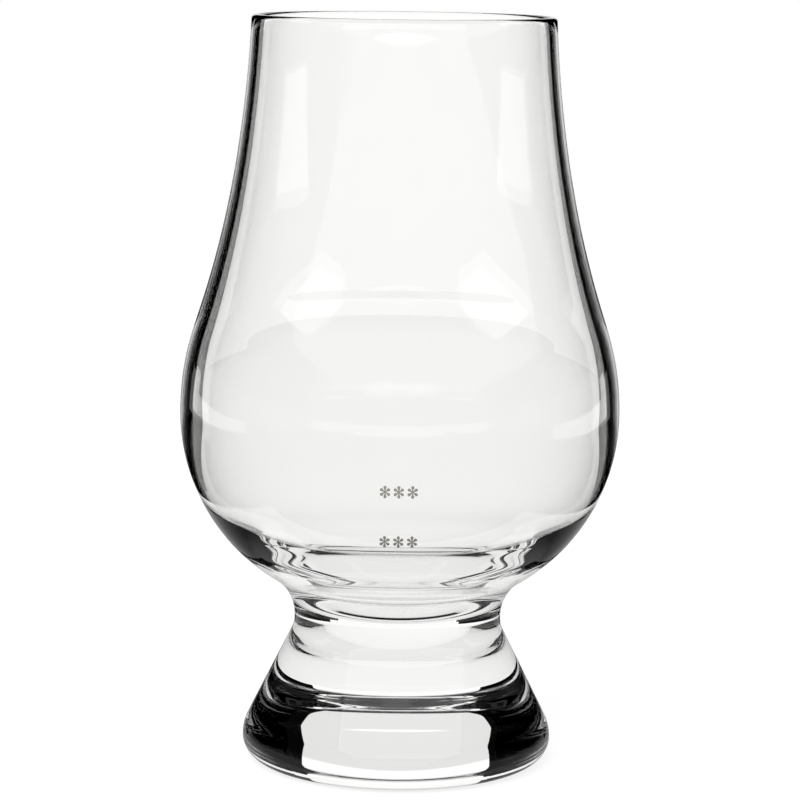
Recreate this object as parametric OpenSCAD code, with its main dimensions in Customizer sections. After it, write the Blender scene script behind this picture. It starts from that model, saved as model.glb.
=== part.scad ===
// Whisky nosing glass: a blown tulip bowl on a short pressed foot, with two printed fill marks.
// Foot and bowl are joined hot at the neck, the narrowest place.
// Millimetres, +Z up, the origin at the centre of the ring that the glass stands on.
// Outlines are lists of [radius, height], and each is turned about the Z axis.

/* [Overall] */
// Height of the whole glass
glass_h = 115; // [105:1:125]

/* [Bowl, outside] */
// Radius of the mouth
mouth_r = 23.2; // [21:0.1:25]
// Lean of the wall at the mouth, in degrees from the vertical
mouth_lean = 2.9; // [0:0.1:5]
// Lean of the wall where the shoulder turns into the chimney, in degrees from the vertical
shoulder_lean = 17; // [12:0.5:20]
// Radius of the shoulder's arc, above the belly
shoulder_arc_r = 43; // [38:0.1:47]
// Radius of the belly, the widest place
belly_r = 33.8; // [31:0.1:36]
// Radius of the basin's arc, below the belly
basin_arc_r = 30.1; // [28:0.1:32]
// Radius of the neck, where the bowl is joined to the foot
neck_r = 16; // [14:0.1:17]
// Radius of the hollow fillet between the neck and the basin
neck_fillet_r = 7.5; // [5.5:0.1:10]
// Height of the straight part of the neck, above the joint
neck_h = 0.3; // [0.1:0.1:3]

/* [Bowl, inside] */
// Thickness of the wall at the rim
rim_wall = 1.2; // [1:0.05:1.8]
// Thickness of the wall at the belly
belly_wall = 1.6; // [1.1:0.05:2.2]
// Thickness of the wall halfway round the basin, where the cavity's two curves meet
basin_wall = 1.8; // [1.3:0.1:3]
// How much flatter the cavity's wall runs there than the outside, in degrees
basin_turn = 15; // [0:1:25]
// Thickness of the glass between the joint and the lowest place of the cavity
floor_wall = 1.4; // [0.8:0.1:5]

/* [Foot] */
// Height of the foot, from the ring that it stands on to the joint
foot_h = 22.1; // [18:0.1:25]
// Radius of the hollow fillet between the neck and the foot's cone
foot_fillet_r = 4.6; // [2:0.1:7]
// Radius of the foot's lip, the foot's widest place
foot_r = 23.95; // [22:0.05:26]
// Height of the lip's widest place
lip_h = 3.5; // [2.5:0.1:4.5]
// Radius of the rounding above the lip
lip_upper_r = 6.5; // [3:0.5:9]
// Width of the flat ring that the glass stands on
ring_w = 2.6; // [1.5:0.1:4]
// Depth of the shallow hollow in the underside
hollow_depth = 0.9; // [0.4:0.1:2]

/* [Fill marks] */
// Height of the lower mark's middle
lower_mark_h = 39.7; // [37:0.1:42]
// Height of the upper mark's middle
upper_mark_h = 47.6; // [45:0.1:50]
// Number of flowers in a mark
flower_count = 3; // [2:1:5]
// Distance between the flowers of a mark
flower_pitch = 2; // [1.8:0.05:2.6]
// Width of a flower
flower_w = 1.64; // [1.3:0.02:1.7]
// Height of a flower
flower_h = 1.9; // [1.5:0.02:2.2]
// Number of petals in a flower
petal_count = 6; // [5:1:8]
// Radius of a petal's round end
petal_r = 0.23; // [0.15:0.01:0.26]
// Radius of a flower's middle
eye_r = 0.2; // [0.1:0.01:0.3]
// Thickness of the fired print
print_t = 0.1; // [0.05:0.01:0.2]

/* [Hidden] */
$fn = 96;

// Straight pieces in a short and in a long curved stretch
short_steps = 8;
long_steps = 16;

// How far the lower and the upper end of the chimney's curve keep their direction, as shares of its height
chimney_shares = [0.12, 0.57];
// How far the cavity's two curves keep theirs, as shares of the distance between the ends of each:
// both ends of the upper curve, then the upper end and the lower end of the lower one
cavity_shares = [0.36, 0.47, 0.53];

// Where those two curves meet, as an angle round the basin's centre
cavity_bend_angle = -45;

// Neck fillet and basin arc touch, which sets the height of the belly
fillet_centre = [neck_r + neck_fillet_r, foot_h + neck_h];
basin_centre_r = belly_r - basin_arc_r;
centre_distance = basin_arc_r + neck_fillet_r;
touch_angle = -acos((fillet_centre.x - basin_centre_r) / centre_distance);
basin_centre = [basin_centre_r, fillet_centre.y - centre_distance * sin(touch_angle)];
belly_h = basin_centre.y;
shoulder_centre = [belly_r - shoulder_arc_r, belly_h];

// Rounded rim
rim_round_r = rim_wall / 2;
rim_centre = [mouth_r - rim_round_r, glass_h - rim_round_r];
rim_outer = rim_centre + rim_round_r * direction(mouth_lean);
rim_inner = rim_centre - rim_round_r * direction(mouth_lean);

// Ends of the shoulder's arcs, and of the chimney's curve
shoulder_outer = shoulder_centre + shoulder_arc_r * direction(shoulder_lean);
shoulder_inner = shoulder_centre + (shoulder_arc_r - belly_wall) * direction(shoulder_lean);
chimney_h = rim_outer.y - shoulder_outer.y;
chimney_handles = chimney_h * chimney_shares;

// Cavity below the belly
cavity_r = belly_r - belly_wall;
floor_h = foot_h + floor_wall;
cavity_top = [cavity_r, belly_h];
cavity_bend = basin_centre + (basin_arc_r - basin_wall) * direction(cavity_bend_angle);
cavity_fall = direction(cavity_bend_angle - 90 - basin_turn);
cavity_floor = [0, floor_h];
upper_handle = norm(cavity_bend - cavity_top) * cavity_shares[0];
lower_handles = norm(cavity_floor - cavity_bend) * [cavity_shares[1], cavity_shares[2]];

// Foot: the cone is the line that touches both the fillet below the neck and the rounding above the lip
lip_upper_centre = [foot_r - lip_upper_r, lip_h];
lip_lower_centre = [foot_r - lip_h, lip_h];
foot_fillet_centre = [neck_r + foot_fillet_r, foot_h];
lip_to_fillet = foot_fillet_centre - lip_upper_centre;
cone_lean = atan2(lip_to_fillet.y, lip_to_fillet.x)
    - acos((lip_upper_r + foot_fillet_r) / norm(lip_to_fillet));
cone_top = foot_fillet_centre - foot_fillet_r * direction(cone_lean);
ring_inner_r = lip_lower_centre.x - ring_w;
hollow_arc_r = (ring_inner_r ^ 2 + hollow_depth ^ 2) / (2 * hollow_depth);
hollow_centre = [0, hollow_depth - hollow_arc_r];

// Petal ends lie on an ellipse, because a flower is higher than it is wide
petal_end = [flower_w / 2 - petal_r, flower_h / 2 - petal_r];

function direction(angle) = [cos(angle), sin(angle)];

// A point moved up along a wall that leans towards the axis
function along_wall(point, lean, distance) = point + distance * direction(lean + 90);

// An arc without its first point
function arc_points(centre, radius, from, to, steps) =
    [for (i = [1:steps]) centre + radius * direction(from + (to - from) * i / steps)];

// A cubic curve without its first point
function curve_points(start, start_handle, end_handle, end, steps) =
    [for (i = [1:steps])
        let (t = i / steps, s = 1 - t)
        s ^ 3 * start + 3 * s ^ 2 * t * start_handle + 3 * s * t ^ 2 * end_handle + t ^ 3 * end];

// The basin's outside, from the neck fillet up to the belly, moved out by a distance
function basin_skin(outset) = concat(
    [basin_centre + (basin_arc_r + outset) * direction(touch_angle)],
    arc_points(basin_centre, basin_arc_r + outset, touch_angle, 0, long_steps));

function bowl_outside() = concat(
    [[0, foot_h], [neck_r, foot_h], [neck_r, fillet_centre.y]],
    arc_points(fillet_centre, neck_fillet_r, 180, 180 + touch_angle, short_steps),
    arc_points(basin_centre, basin_arc_r, touch_angle, 0, long_steps),
    arc_points(shoulder_centre, shoulder_arc_r, 0, shoulder_lean, short_steps),
    curve_points(
        shoulder_outer,
        along_wall(shoulder_outer, shoulder_lean, chimney_handles[0]),
        along_wall(rim_outer, mouth_lean, -chimney_handles[1]),
        rim_outer,
        long_steps));

function bowl_inside() = concat(
    curve_points(
        rim_inner,
        along_wall(rim_inner, mouth_lean, -chimney_handles[1]),
        along_wall(shoulder_inner, shoulder_lean, chimney_handles[0]),
        shoulder_inner,
        long_steps),
    arc_points(shoulder_centre, shoulder_arc_r - belly_wall, shoulder_lean, 0, short_steps),
    curve_points(
        cavity_top,
        cavity_top - [0, upper_handle],
        cavity_bend - upper_handle * cavity_fall,
        cavity_bend,
        long_steps),
    curve_points(
        cavity_bend,
        cavity_bend + lower_handles[0] * cavity_fall,
        cavity_floor + [lower_handles[1], 0],
        cavity_floor,
        long_steps));

function rim_round() =
    arc_points(rim_centre, rim_round_r, mouth_lean, mouth_lean + 180, short_steps);

module bowl() {
    color("azure", 0.5)
        rotate_extrude()
            polygon(concat(bowl_outside(), rim_round(), bowl_inside()));
}

module foot() {
    color("lightcyan", 0.6)
        rotate_extrude()
            polygon(concat(
                [[0, hollow_depth]],
                arc_points(hollow_centre, hollow_arc_r, 90, acos(ring_inner_r / hollow_arc_r), short_steps),
                [[lip_lower_centre.x, 0]],
                arc_points(lip_lower_centre, lip_h, -90, 0, short_steps),
                arc_points(lip_upper_centre, lip_upper_r, 0, cone_lean, short_steps),
                [cone_top],
                arc_points(foot_fillet_centre, foot_fillet_r, cone_lean + 180, 180, short_steps),
                [[0, foot_h]]));
}

// One flower in the plane, its petals widening from the middle to their round ends
module flower() {
    circle(eye_r);
    for (i = [1:petal_count]) {
        turn = 360 * i / petal_count;
        end = [petal_end.x * sin(turn), petal_end.y * cos(turn)];
        side = petal_r * [end.y, -end.x] / norm(end);
        polygon([[0, 0], end + side, end - side]);
        translate(end) circle(petal_r);
    }
}

// A row of flowers printed on the front of the basin
module fill_mark(height) {
    row_start = -flower_pitch * (flower_count - 1) / 2;
    color("darkgray")
        intersection() {
            rotate_extrude()
                polygon(concat(basin_skin(0), [for (i = [long_steps:-1:0]) basin_skin(print_t)[i]]));
            for (i = [1:flower_count])
                translate([row_start + flower_pitch * (i - 1), 0, height])
                    rotate([90, 0, 0])
                        linear_extrude(belly_r + print_t)
                            flower();
        }
}

module upper_fill_mark() {
    fill_mark(upper_mark_h);
}

module lower_fill_mark() {
    fill_mark(lower_mark_h);
}

bowl();
foot();
upper_fill_mark();
lower_fill_mark();
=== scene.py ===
import math

import bmesh
import bpy
from mathutils import Matrix, Vector


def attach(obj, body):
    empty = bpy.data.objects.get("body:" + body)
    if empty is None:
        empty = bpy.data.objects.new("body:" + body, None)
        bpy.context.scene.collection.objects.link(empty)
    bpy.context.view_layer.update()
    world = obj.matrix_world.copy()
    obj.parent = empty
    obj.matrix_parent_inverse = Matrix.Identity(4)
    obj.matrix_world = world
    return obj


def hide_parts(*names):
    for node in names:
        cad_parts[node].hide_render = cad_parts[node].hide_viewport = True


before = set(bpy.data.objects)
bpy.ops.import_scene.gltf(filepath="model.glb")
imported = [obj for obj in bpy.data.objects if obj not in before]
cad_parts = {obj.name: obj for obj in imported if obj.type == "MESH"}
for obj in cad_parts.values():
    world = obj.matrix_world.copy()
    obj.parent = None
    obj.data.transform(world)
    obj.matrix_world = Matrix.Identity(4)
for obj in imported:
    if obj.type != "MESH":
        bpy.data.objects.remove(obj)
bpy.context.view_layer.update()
scene = bpy.context.scene

MM = 0.001

# Outside of the glass in millimetres and degrees, as in the part's source
GLASS_H = 115
MOUTH_R = 23.2
MOUTH_LEAN = 2.9
SHOULDER_LEAN = 17
SHOULDER_ARC_R = 43
BELLY_R = 33.8
BASIN_ARC_R = 30.1
NECK_R = 16
NECK_FILLET_R = 7.5
NECK_H = 0.3
FOOT_H = 22.1
FOOT_FILLET_R = 4.6
FOOT_R = 23.95
LIP_H = 3.5
LIP_UPPER_R = 6.5
RING_W = 2.6
HOLLOW_DEPTH = 0.9
CHIMNEY_SHARES = (0.12, 0.57)

# Walls of the glass, up to 1 mm thicker than in the part's source. They were worked out later, from the width
# of the dark edges and from where the clear view through the basin ends
RIM_WALL = 1.35
BELLY_WALL = 1.85
BASIN_WALL = 2.8
BASIN_TURN = 19
FLOOR_WALL = 1.6
CAVITY_SHARES = (0.38, 0.41, 0.54)
CAVITY_BEND_ANGLE = -45

# Straight pieces in each curved stretch of the outline, and in the full turn
HOLLOW_STEPS = 16
LIP_LOWER_STEPS = 20
LIP_UPPER_STEPS = 12
FOOT_FILLET_STEPS = 12
NECK_FILLET_STEPS = 20
BASIN_STEPS = 48
SHOULDER_STEPS = 16
CHIMNEY_STEPS = 40
RIM_STEPS = 16
CAVITY_STEPS = 40
CAVITY_FLOOR_STEPS = 64
SPIN_STEPS = 256

# Doubles on the axis lie closer than this, and an edge that turns by more degrees than this shades sharp
MERGE_DISTANCE = 0.001
SHARP_ANGLE = 18

# Width of the specks in the fired ink, drawn coarser than real ones so that they show, and their height
INK_GRAIN = 0.25
INK_RELIEF = 0.02

# Light levels, as radiance in a render where 1 is white
FLOOR_THROUGH = 0.86
# Painted light: seen through the glass, the floor is brighter under the glass, where light through the glass
# would gather
FLOOR_PAINTED_LIGHT_UNDER_GLASS = 0.9
# Painted shade: where the glass reflects it, the floor is dark, as a table between black flags is
FLOOR_REFLECTED_PAINTED_SHADE = 0.1
# Painted light: where the glass reflects the floor, it is brighter by the foot
FLOOR_PAINTED_LIGHT_BY_FOOT = 0.35
# Painted light: where the glass reflects the floor, it grows brighter behind the glass towards the backdrop
FLOOR_PAINTED_LIGHT_BY_BACKDROP = 0.42
FLOOR_IN_CAMERA = 0.85
ROOM_LEVEL = 0.5
DARK_LEVEL = 0.002
BACKDROP_THROUGH = 1.12
BACKDROP_TOP_THROUGH = 0.86
BACKDROP_REFLECTED = 1.0
FRONT_LEVEL = 0.3
SIDE_LEVEL = 0.3
CEILING_LEVEL = 0.03
WINDOW_LEVEL = 0.8

# How far painted shade dims the floor seen through the glass where it meets the backdrop, as the shadow in
# the gap there
FLOOR_PAINTED_SHADE_AT_SEAM = 0.96

# Distances from the glass's axis, or behind it, between which the floor's painted light and painted shade
# change
PAINTED_LIGHT_UNDER_GLASS_SPAN = (19, 23)
PAINTED_LIGHT_BY_FOOT_SPAN = (45, 60)
PAINTED_LIGHT_BEHIND_SPAN = (20, 95)
PAINTED_SHADE_SEAM_SPAN = (500, 530)

# A glass touches what it stands on at a few points only, so a film of air stays under its ring
FLOOR_GAP = 0.1
FLOOR_REACH = 2500

# Camera
CAMERA_PLACE = Vector((0, -480, 127.96)) * MM
CAMERA_TILT = 8.513
CAMERA_ROLL = 0.7
FOCAL_PX = 3149.3
PHOTO_PX = 800
SENSOR_WIDTH = 36

# Edges of the room of cards round the glass, in the main view
BACKDROP_X = 235
BACK_Y = 548
FRONT_Y = -560
WALL_X = 600
BELOW = -900
CEILING_H = 420
HORIZON_H = 112
WINDOW_H = 136

# Cards that stand in pairs, left and right of the glass. Each row has the name, the place across with the
# front and back edge of the left one, the same of the right one, the bottom, the top, the level where the
# glass reflects it, and the level where it is seen through the glass
SIDE_CARDS = (
    ("flag", (-85, 58, 200), (80, 50, 166), BELOW, 1200, 0.0, 0.0),
    ("far_flag", (-85, 200, 300), (80, 166, 280), BELOW, 1200, 0.0, None),
    ("low_flag", (-60, -60, 190), (60, -60, 160), 9, 45, 0.0, None),
    ("foot_flag", (-38, 15, 190), (38, 15, 160), -5, 8, 0.0, None),
    ("table_flag", (-85, -200, 58), (80, -200, 50), BELOW, 45, 0.0, 0.0),
    ("wall", (-WALL_X, FRONT_Y, BACK_Y), (WALL_X, FRONT_Y, BACK_Y), BELOW, 100, SIDE_LEVEL, 0.0),
)

# Key lamp
KEY_SIZE = (500, 350)
KEY_PLACE = Vector((-180, -520, 560)) * MM
KEY_AIM = Vector((0, 0, 40)) * MM
KEY_WATTS = 2.6

# Light goes to and fro inside the foot many times before it leaves
LIGHT_BOUNCES = 24


def direction(angle):
    """A step of length 1 in the plane of radius and height."""
    return Vector((math.cos(math.radians(angle)), math.sin(math.radians(angle))))


def arc_points(centre, radius, start, end, steps):
    """An arc without its first point, between two angles in degrees."""
    return [centre + radius * direction(start + (end - start) * i / steps) for i in range(1, steps + 1)]


def curve_points(start, start_handle, end_handle, end, steps):
    """A cubic curve without its first point."""
    points = []
    for i in range(1, steps + 1):
        t = i / steps
        s = 1 - t
        points.append(s**3 * start + 3 * s * s * t * start_handle + 3 * s * t * t * end_handle + t**3 * end)
    return points


def along_wall(point, lean, distance):
    """A point moved up along a wall that leans towards the axis."""
    return point + distance * direction(lean + 90)


# Neck fillet and basin arc touch, which sets the height of the belly
fillet_centre = Vector((NECK_R + NECK_FILLET_R, FOOT_H + NECK_H))
centre_distance = BASIN_ARC_R + NECK_FILLET_R
touch_angle = -math.degrees(math.acos((fillet_centre.x - BELLY_R + BASIN_ARC_R) / centre_distance))
basin_centre = fillet_centre - centre_distance * direction(touch_angle)
belly_h = basin_centre.y
shoulder_centre = Vector((BELLY_R - SHOULDER_ARC_R, belly_h))

# Rounded rim, and the ends and handles of the chimney's curves
rim_round_r = RIM_WALL / 2
rim_centre = Vector((MOUTH_R - rim_round_r, GLASS_H - rim_round_r))
rim_outer = rim_centre + rim_round_r * direction(MOUTH_LEAN)
rim_inner = rim_centre - rim_round_r * direction(MOUTH_LEAN)
shoulder_outer = shoulder_centre + SHOULDER_ARC_R * direction(SHOULDER_LEAN)
shoulder_inner = shoulder_centre + (SHOULDER_ARC_R - BELLY_WALL) * direction(SHOULDER_LEAN)
lower_handle, upper_handle = ((rim_outer.y - shoulder_outer.y) * share for share in CHIMNEY_SHARES)


def foot_outline():
    """From the middle of the hollow underside, round the lip and up the cone to the neck."""
    lip_upper_centre = Vector((FOOT_R - LIP_UPPER_R, LIP_H))
    lip_lower_centre = Vector((FOOT_R - LIP_H, LIP_H))
    foot_fillet_centre = Vector((NECK_R + FOOT_FILLET_R, FOOT_H))
    lip_to_fillet = foot_fillet_centre - lip_upper_centre
    cone_lean = math.degrees(
        math.atan2(lip_to_fillet.y, lip_to_fillet.x)
        - math.acos((LIP_UPPER_R + FOOT_FILLET_R) / lip_to_fillet.length))
    ring_inner_r = lip_lower_centre.x - RING_W
    hollow_arc_r = (ring_inner_r**2 + HOLLOW_DEPTH**2) / (2 * HOLLOW_DEPTH)
    hollow_centre = Vector((0, HOLLOW_DEPTH - hollow_arc_r))
    hollow_end = math.degrees(math.acos(ring_inner_r / hollow_arc_r))
    points = [Vector((0, HOLLOW_DEPTH))]
    points += arc_points(hollow_centre, hollow_arc_r, 90, hollow_end, HOLLOW_STEPS)
    points += [Vector((lip_lower_centre.x, 0))]
    points += arc_points(lip_lower_centre, LIP_H, -90, 0, LIP_LOWER_STEPS)
    points += arc_points(lip_upper_centre, LIP_UPPER_R, 0, cone_lean, LIP_UPPER_STEPS)
    points += [foot_fillet_centre - FOOT_FILLET_R * direction(cone_lean)]
    points += arc_points(foot_fillet_centre, FOOT_FILLET_R, cone_lean + 180, 180, FOOT_FILLET_STEPS)
    return points


def bowl_outside():
    """From the neck up round the belly and the chimney, and over the rim."""
    points = [fillet_centre - Vector((NECK_FILLET_R, 0))]
    points += arc_points(fillet_centre, NECK_FILLET_R, 180, 180 + touch_angle, NECK_FILLET_STEPS)
    points += arc_points(basin_centre, BASIN_ARC_R, touch_angle, 0, BASIN_STEPS)
    points += arc_points(shoulder_centre, SHOULDER_ARC_R, 0, SHOULDER_LEAN, SHOULDER_STEPS)
    points += curve_points(
        shoulder_outer,
        along_wall(shoulder_outer, SHOULDER_LEAN, lower_handle),
        along_wall(rim_outer, MOUTH_LEAN, -upper_handle),
        rim_outer,
        CHIMNEY_STEPS)
    points += arc_points(rim_centre, rim_round_r, MOUTH_LEAN, MOUTH_LEAN + 180, RIM_STEPS)
    return points


def bowl_inside():
    """From the rim down the wall's inside to the lowest place of the cavity."""
    cavity_top = Vector((BELLY_R - BELLY_WALL, belly_h))
    cavity_bend = basin_centre + (BASIN_ARC_R - BASIN_WALL) * direction(CAVITY_BEND_ANGLE)
    cavity_fall = direction(CAVITY_BEND_ANGLE - 90 - BASIN_TURN)
    cavity_floor = Vector((0, FOOT_H + FLOOR_WALL))
    upper_reach = (cavity_bend - cavity_top).length * CAVITY_SHARES[0]
    lower_reach, floor_reach = ((cavity_floor - cavity_bend).length * share for share in CAVITY_SHARES[1:])
    points = curve_points(
        rim_inner,
        along_wall(rim_inner, MOUTH_LEAN, -upper_handle),
        along_wall(shoulder_inner, SHOULDER_LEAN, lower_handle),
        shoulder_inner,
        CHIMNEY_STEPS)
    points += arc_points(shoulder_centre, SHOULDER_ARC_R - BELLY_WALL, SHOULDER_LEAN, 0, SHOULDER_STEPS)
    points += curve_points(
        cavity_top,
        cavity_top - Vector((0, upper_reach)),
        cavity_bend - upper_reach * cavity_fall,
        cavity_bend,
        CAVITY_STEPS)
    points += curve_points(
        cavity_bend,
        cavity_bend + lower_reach * cavity_fall,
        cavity_floor + Vector((floor_reach, 0)),
        cavity_floor,
        CAVITY_FLOOR_STEPS)
    return points


def new_piece(name, bm, smooth=True):
    """An object in the scene with the mesh of a finished bmesh."""
    mesh = bpy.data.meshes.new(name)
    for face in bm.faces:
        face.smooth = smooth
    bm.to_mesh(mesh)
    bm.free()
    piece = bpy.data.objects.new(name, mesh)
    scene.collection.objects.link(piece)
    return piece


def glass_body():
    """Bowl and foot as one skin, because they are melted together and no face is left between them."""
    bm = bmesh.new()
    outline = foot_outline() + bowl_outside() + bowl_inside()
    verts = [bm.verts.new((point.x * MM, 0, point.y * MM)) for point in outline]
    edges = [bm.edges.new(pair) for pair in zip(verts, verts[1:])]
    bmesh.ops.spin(
        bm, geom=verts + edges, cent=(0, 0, 0), axis=(0, 0, 1),
        angle=2 * math.pi, steps=SPIN_STEPS, use_merge=True)
    bmesh.ops.remove_doubles(bm, verts=bm.verts, dist=MERGE_DISTANCE * MM)
    bmesh.ops.recalc_face_normals(bm, faces=bm.faces)
    for edge in bm.edges:
        if len(edge.link_faces) == 2 and edge.calc_face_angle() > math.radians(SHARP_ANGLE):
            edge.smooth = False
    return new_piece("glass_body", bm)


def srgb(code):
    """An sRGB hex value as the linear colour that a shader takes."""
    channels = [int(code[i:i + 2], 16) / 255 for i in (1, 3, 5)]
    return [c / 12.92 if c <= 0.04045 else ((c + 0.055) / 1.055) ** 2.4 for c in channels] + [1.0]


def add_node(tree, kind, settings=(), links=()):
    """A node with its settings, by name, and its links, by the socket's name or number."""
    node = tree.nodes.new(kind)
    for name, value in dict(settings).items():
        if name in node.inputs:
            node.inputs[name].default_value = value
        else:
            setattr(node, name, value)
    for socket, source in dict(links).items():
        tree.links.new(source, node.inputs[socket])
    return node


def new_material(name):
    material = bpy.data.materials.new(name)
    material.use_nodes = True
    material.node_tree.nodes.clear()
    return material, material.node_tree


def clear_glass():
    """Colourless blown glass, polished by fire: only reflections and the bent view through it show."""
    material, tree = new_material("clear_fire_polished_glass")
    shader = add_node(tree, "ShaderNodeBsdfPrincipled", {
        "Base Color": srgb("#fdfdfc"), "Roughness": 0.0, "IOR": 1.51, "Transmission Weight": 1.0})
    add_node(tree, "ShaderNodeOutputMaterial", links={"Surface": shader.outputs["BSDF"]})
    return material


def fired_ink():
    """Grey ceramic ink, screen printed and fired: satin, its cover a little uneven from speck to speck."""
    material, tree = new_material("fired_ceramic_ink")
    place = add_node(tree, "ShaderNodeTexCoord")
    grain = add_node(
        tree, "ShaderNodeTexNoise", {"Scale": 1 / (INK_GRAIN * MM), "Detail": 2.0},
        {"Vector": place.outputs["Object"]})
    cover = add_node(
        tree, "ShaderNodeMixRGB", {"Color1": srgb("#aeaca3"), "Color2": srgb("#cac8bf")},
        {"Fac": grain.outputs[0]})
    relief = add_node(
        tree, "ShaderNodeBump", {"Strength": 0.5, "Distance": INK_RELIEF * MM}, {"Height": grain.outputs[0]})
    shader = add_node(
        tree, "ShaderNodeBsdfPrincipled", {"Roughness": 0.6},
        {"Base Color": cover.outputs[0], "Normal": relief.outputs[0]})
    add_node(tree, "ShaderNodeOutputMaterial", links={"Surface": shader.outputs["BSDF"]})
    return material


def glow(name, reflected, through):
    """Flat light with one level where the glass reflects it and one where it is seen through the glass. The
    level None leaves the card out there."""
    material, tree = new_material(name)
    path = add_node(tree, "ShaderNodeLightPath")
    sides = [
        add_node(tree, "ShaderNodeBsdfTransparent") if level is None
        else add_node(tree, "ShaderNodeEmission", {"Strength": level})
        for level in (reflected, through)]
    light = add_node(tree, "ShaderNodeMixShader", links={
        0: path.outputs["Is Transmission Ray"], 1: sides[0].outputs[0], 2: sides[1].outputs[0]})
    add_node(tree, "ShaderNodeOutputMaterial", links={"Surface": light.outputs[0]})
    return material


def pale_floor():
    """Matt pale table: it keeps the shadow and is white to the camera. Seen through the glass it is bright,
    with painted light under the glass and painted shade where it meets the backdrop. Where the glass reflects
    it, it is dark with painted shade, as a table between black flags is, with painted light by the foot and
    behind the glass towards the backdrop."""
    material, tree = new_material("pale_floor")
    path = add_node(tree, "ShaderNodeLightPath")
    place = add_node(tree, "ShaderNodeTexCoord")
    from_axis = add_node(
        tree, "ShaderNodeVectorMath", {"operation": "LENGTH"}, {0: place.outputs["Object"]}).outputs["Value"]
    behind_axis = add_node(
        tree, "ShaderNodeSeparateXYZ", links={0: place.outputs["Object"]}).outputs["Y"]
    # Painted light and shade on the floor: seen through the glass, brighter under the glass and dimmed where
    # it meets the backdrop; where the glass reflects it, brighter by the foot and behind the glass towards
    # the backdrop
    painted_light_under_glass, painted_seam_shade, painted_light_by_foot, painted_light_by_backdrop = (
        add_node(
            tree, "ShaderNodeMapRange",
            {"From Min": span[0] * MM, "From Max": span[1] * MM, "To Min": levels[0], "To Max": levels[1]},
            {"Value": distance}).outputs["Result"]
        for distance, span, levels in (
            (from_axis, PAINTED_LIGHT_UNDER_GLASS_SPAN, (FLOOR_PAINTED_LIGHT_UNDER_GLASS, FLOOR_THROUGH)),
            (behind_axis, PAINTED_SHADE_SEAM_SPAN, (1.0, FLOOR_PAINTED_SHADE_AT_SEAM)),
            (from_axis, PAINTED_LIGHT_BY_FOOT_SPAN, (FLOOR_PAINTED_LIGHT_BY_FOOT, FLOOR_REFLECTED_PAINTED_SHADE)),
            (behind_axis, PAINTED_LIGHT_BEHIND_SPAN, (FLOOR_REFLECTED_PAINTED_SHADE, FLOOR_PAINTED_LIGHT_BY_BACKDROP))))
    # Floor seen through the glass: an even bright level, with painted light under the glass and painted shade
    # where the floor meets the backdrop
    through_level_with_painted_light_and_shade = add_node(tree, "ShaderNodeMath", {"operation": "MULTIPLY"}, {0: painted_light_under_glass, 1: painted_seam_shade})
    # Floor where the glass reflects it: painted shade, with painted light by the foot and towards the
    # backdrop
    painted_reflected_level = add_node(tree, "ShaderNodeMath", {"operation": "MAXIMUM"}, {0: painted_light_by_foot, 1: painted_light_by_backdrop})
    through = add_node(tree, "ShaderNodeEmission", links={"Strength": through_level_with_painted_light_and_shade.outputs[0]})
    reflected = add_node(tree, "ShaderNodeEmission", links={"Strength": painted_reflected_level.outputs[0]})
    black = add_node(tree, "ShaderNodeEmission", {"Strength": 0.0})
    white = add_node(tree, "ShaderNodeEmission", {"Strength": FLOOR_IN_CAMERA})
    shine = add_node(tree, "ShaderNodeMixShader", links={
        0: path.outputs["Is Transmission Ray"], 1: black.outputs[0], 2: through.outputs[0]})
    shine = add_node(tree, "ShaderNodeMixShader", links={
        0: path.outputs["Is Camera Ray"], 1: shine.outputs[0], 2: white.outputs[0]})
    matt = add_node(tree, "ShaderNodeBsdfDiffuse", {"Color": srgb("#a0a09f")})
    lit = add_node(tree, "ShaderNodeAddShader", links={0: matt.outputs[0], 1: shine.outputs[0]})
    # A ray that has come through the glass counts as glossy too, so it is taken off
    only_reflected = add_node(tree, "ShaderNodeMath", {"operation": "SUBTRACT"}, {
        0: path.outputs["Is Glossy Ray"], 1: path.outputs["Is Transmission Ray"]})
    surface = add_node(tree, "ShaderNodeMixShader", links={
        0: only_reflected.outputs[0], 1: lit.outputs[0], 2: reflected.outputs[0]})
    add_node(tree, "ShaderNodeOutputMaterial", links={"Surface": surface.outputs[0]})
    return material


def studio_air():
    """World: white to the camera, a dim room on matt surfaces, nearly black where the glass shows it."""
    world = bpy.data.worlds.new("studio")
    world.use_nodes = True
    tree = world.node_tree
    tree.nodes.clear()
    path = add_node(tree, "ShaderNodeLightPath")
    white, room, dark = (
        add_node(tree, "ShaderNodeBackground", {"Color": srgb("#ffffff"), "Strength": level})
        for level in (1.0, ROOM_LEVEL, DARK_LEVEL))
    air = room
    for ray, seen in (("Is Glossy Ray", dark), ("Is Transmission Ray", dark), ("Is Camera Ray", white)):
        air = add_node(tree, "ShaderNodeMixShader", links={
            0: path.outputs[ray], 1: air.outputs[0], 2: seen.outputs[0]})
    add_node(tree, "ShaderNodeOutputWorld", links={"Surface": air.outputs[0]})
    return world


def upright(start, end, bottom, top):
    """Corners of a card that stands on a line from start to end."""
    return [(*start, bottom), (*end, bottom), (*end, top), (*start, top)]


def lying(height, *places):
    """Corners of a card that lies level at a height."""
    return [(*place, height) for place in places]


def card(name, corners, reflected, through):
    """A flat lit or black card, placed in millimetres for the main view. It goes with the camera, so that the
    glass stands against the light in every view."""
    bm = bmesh.new()
    to_camera = camera.matrix_world.inverted()
    bm.faces.new([bm.verts.new(to_camera @ (Vector(corner) * MM)) for corner in corners])
    piece = new_piece(name, bm, smooth=False)
    piece.data.materials.append(glow(name, reflected, through))
    piece.parent = camera
    piece.visible_camera = False
    piece.visible_diffuse = False
    piece.visible_shadow = False


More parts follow.
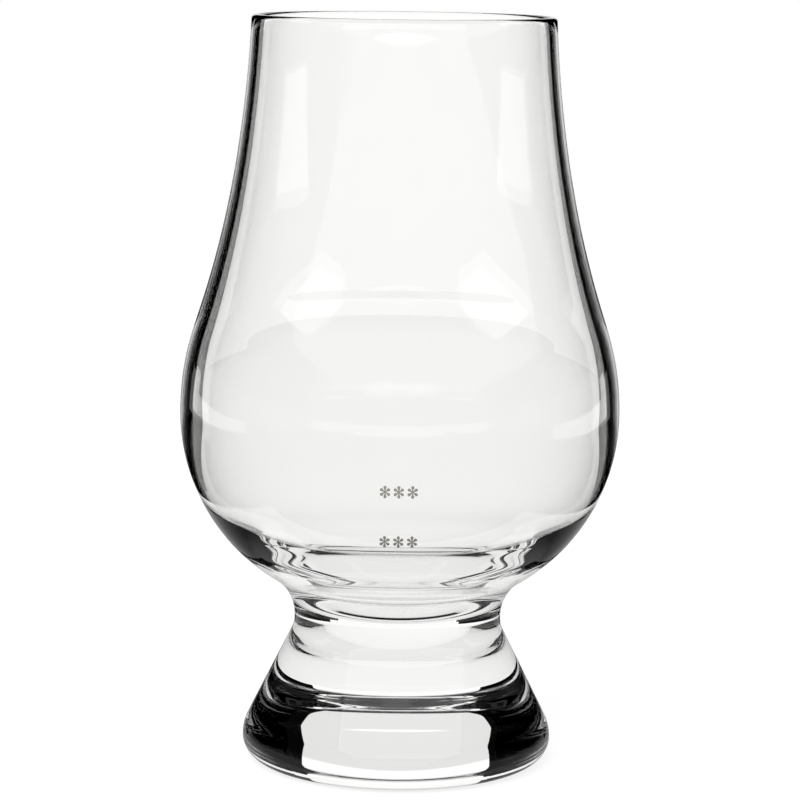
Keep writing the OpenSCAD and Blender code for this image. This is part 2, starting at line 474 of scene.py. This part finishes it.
# Glass, and the printed marks on it
body = glass_body()
body.data.materials.append(clear_glass())
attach(body, "root")
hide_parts("bowl", "foot")
ink = fired_ink()
for name in ("upper_fill_mark", "lower_fill_mark"):
    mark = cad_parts[name]
    mark.data.materials.clear()
    mark.data.materials.append(ink)

# Camera
camera_data = bpy.data.cameras.new("camera")
camera_data.sensor_width = SENSOR_WIDTH
camera_data.lens = FOCAL_PX / PHOTO_PX * SENSOR_WIDTH
camera_data.clip_start = 0.01
camera_data.clip_end = 20
camera = bpy.data.objects.new("camera", camera_data)
scene.collection.objects.link(camera)
scene.camera = camera
camera.location = CAMERA_PLACE
tilt = Matrix.Rotation(math.radians(90 - CAMERA_TILT), 3, "X")
roll = Matrix.Rotation(math.radians(CAMERA_ROLL), 3, "Z")
camera.rotation_euler = (tilt @ roll).to_euler()

# Floor and world
bm = bmesh.new()
bmesh.ops.create_grid(bm, x_segments=1, y_segments=1, size=FLOOR_REACH * MM)
floor = new_piece("floor", bm, smooth=False)
floor.location.z = -FLOOR_GAP * MM
floor.data.materials.append(pale_floor())
scene.world = studio_air()

# Cards: a white backdrop, black flags and dim walls at the sides, a dim front and a soft window overhead
bpy.context.view_layer.update()
left_end = (-BACKDROP_X, BACK_Y)
right_end = (BACKDROP_X, BACK_Y)
card(
    "backdrop_card", upright(left_end, right_end, -700, HORIZON_H),
    BACKDROP_REFLECTED, BACKDROP_THROUGH)
card(
    "backdrop_top", upright(left_end, right_end, HORIZON_H, CEILING_H),
    BACKDROP_REFLECTED, BACKDROP_TOP_THROUGH)
for kind, left, right, bottom, top, reflected, through in SIDE_CARDS:
    for side, (x, front, back) in (("left", left), ("right", right)):
        card(f"{side}_{kind}", upright((x, front), (x, back), bottom, top), reflected, through)
card("front_wall", upright((WALL_X, FRONT_Y), (-WALL_X, FRONT_Y), BELOW, 250), FRONT_LEVEL, None)
card(
    "front_floor_flag",
    lying(1, (-WALL_X, FRONT_Y), (WALL_X, FRONT_Y), (WALL_X, -30), (-WALL_X, -30)),
    0.0, 0.0)
card(
    "front_ceiling",
    lying(CEILING_H, (-WALL_X, FRONT_Y), (WALL_X, FRONT_Y), (WALL_X, -60), (-WALL_X, -60)),
    None, CEILING_LEVEL)
for name, places in (
        ("window_front", ((-200, -350), (235, -350), (235, -140), (-158, -140))),
        ("window_left", ((-158, -140), (-60, -140), (-60, -40), (-158, -40))),
        ("window_right", ((60, -140), (235, -140), (235, -40), (60, -40)))):
    card(name, lying(WINDOW_H, *places), WINDOW_LEVEL, None)

# Soft key lamp above the camera, which lights the ink and the floor
lamp = bpy.data.lights.new("key_lamp", "AREA")
lamp.shape = "RECTANGLE"
lamp.size = KEY_SIZE[0] * MM
lamp.size_y = KEY_SIZE[1] * MM
lamp.energy = KEY_WATTS
key = bpy.data.objects.new("key_lamp", lamp)
scene.collection.objects.link(key)
key.location = KEY_PLACE
key.rotation_euler = (KEY_AIM - KEY_PLACE).to_track_quat("-Z", "Y").to_euler()
key.visible_camera = False
key.visible_glossy = False
key.visible_transmission = False

scene.view_settings.view_transform = "Standard"
scene.cycles.max_bounces = LIGHT_BOUNCES
scene.cycles.transmission_bounces = LIGHT_BOUNCES
scene.cycles.glossy_bounces = LIGHT_BOUNCES
scene.cycles.caustics_reflective = False
scene.cycles.caustics_refractive = False
